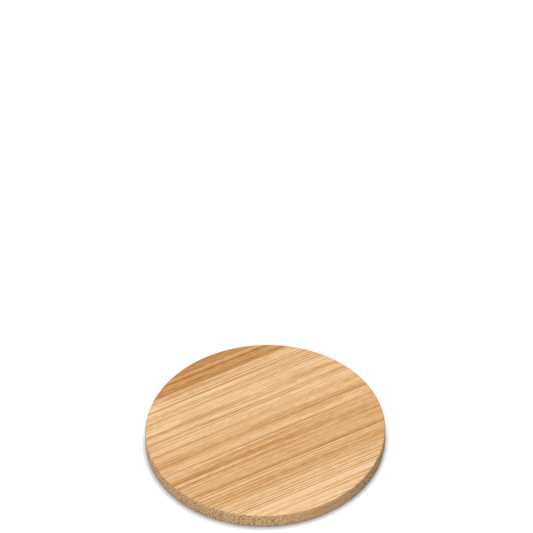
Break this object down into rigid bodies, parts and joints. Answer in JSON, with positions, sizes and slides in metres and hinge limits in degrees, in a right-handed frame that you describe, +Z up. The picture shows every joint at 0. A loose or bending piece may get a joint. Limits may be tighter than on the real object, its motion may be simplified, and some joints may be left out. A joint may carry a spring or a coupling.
{
  "type": "bottle coaster",
  "caption": "Flat round coaster of side-pressed bamboo strips glued edge to edge, with a sanded rim, that keeps a bottle or glass off the table top.",
  "frame": {"origin": "centre of the underside, on the surface the coaster lies on", "axes": "+Z up along the disc's axis, +X along the bamboo strips, +Y across them"},
  "size_m": [0.098, 0.098, 0.006],
  "materials": {
    "bamboo": "sanded natural bamboo with a thin satin oil",
    "glue": "cured wood adhesive, amber brown"
  },
  "bodies": {
    "root": {"front_strip_01": "bamboo", "front_strip_02": "bamboo", "front_strip_03": "bamboo", "front_strip_04": "bamboo", "front_strip_05": "bamboo", "front_strip_06": "bamboo", "front_strip_07": "bamboo", "front_strip_08": "bamboo", "middle_strip": "bamboo", "back_strip_08": "bamboo", "back_strip_07": "bamboo", "back_strip_06": "bamboo", "back_strip_05": "bamboo", "back_strip_04": "bamboo", "back_strip_03": "bamboo", "back_strip_02": "bamboo", "back_strip_01": "bamboo", "glue_lines": "glue"}
  },
  "joints": []
}
